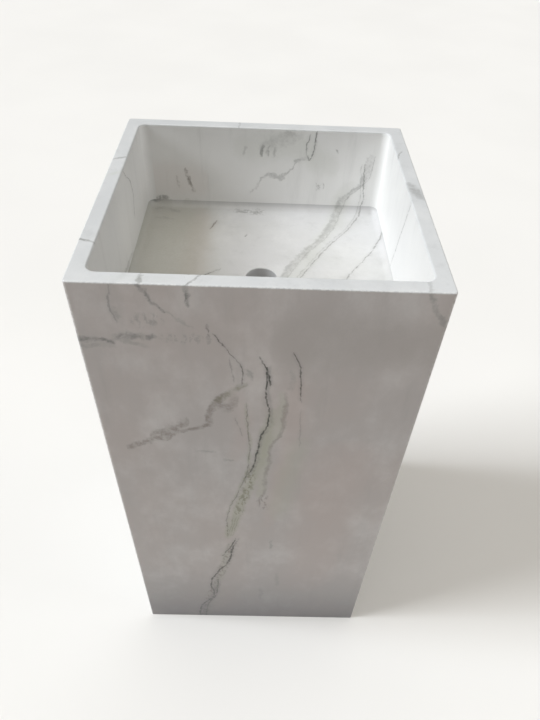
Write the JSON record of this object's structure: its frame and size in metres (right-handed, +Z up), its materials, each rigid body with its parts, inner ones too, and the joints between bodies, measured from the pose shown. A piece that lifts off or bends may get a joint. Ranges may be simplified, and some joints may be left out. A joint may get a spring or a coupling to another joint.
{
  "type": "pedestal sink",
  "caption": "Square free-standing pedestal sink of mitred marble slabs: open basin with a bare central drain hole, and a waste and bottle trap inside.",
  "frame": {"origin": "on the floor, under the middle of the square column", "axes": "+Z up, the front faces -Y, and the back with the service opening faces +Y"},
  "size_m": [0.42, 0.42, 0.85],
  "materials": {
    "marble": "polished white marble with grey veins",
    "backing_stone": "sawn, matt",
    "stone_adhesive": "colour-matched resin, polished flush",
    "plated_brass": "chrome plated",
    "stainless_steel": "satin",
    "brass": "turned",
    "white_plastic": "moulded",
    "nut_plastic": "moulded, fine grain",
    "rubber": "matt"
  },
  "bodies": {
    "column": {"front_panel": "marble", "back_panel": "marble", "left_panel": "marble", "right_panel": "marble", "basin_floor": "marble", "floor_bearer_front": "backing_stone", "floor_bearer_back": "backing_stone", "floor_bearer_left": "backing_stone", "floor_bearer_right": "backing_stone", "base_stiffener_front": "backing_stone", "base_stiffener_back": "backing_stone", "base_stiffener_left": "backing_stone", "base_stiffener_right": "backing_stone", "corner_glue_blocks": "backing_stone", "basin_corner_fillets": "stone_adhesive", "basin_cove_fillet": "stone_adhesive", "waste_gasket": "rubber", "waste_body": "plated_brass", "waste_screws": "stainless_steel", "waste_inserts": "brass", "inlet_washer": "rubber", "inlet_tube": "white_plastic", "inlet_nut": "nut_plastic"},
    "strainer": {"strainer": "stainless_steel"},
    "trap": {"trap_body": "white_plastic", "slip_washer": "rubber", "slip_nut": "nut_plastic", "cup_seal": "rubber", "outlet_washer": "rubber", "outlet_nut": "nut_plastic", "outlet_pipe": "white_plastic"},
    "cup": {"trap_cup": "white_plastic"}
  },
  "joints": [
    {"name": "strainer_lift", "type": "slide", "parent": "column", "child": "strainer", "axis": [0, 0, 1], "range_m": [0, 0.06]},
    {"name": "trap_swivel", "type": "hinge", "parent": "column", "child": "trap", "pos_m": [0, 0, 0.591], "axis": [0, 0, 1], "range_deg": [-25, 25]},
    {"name": "cup_removal", "type": "slide", "parent": "trap", "child": "cup", "axis": [0, 0, -1], "range_m": [0, 0.07]}
  ]
}
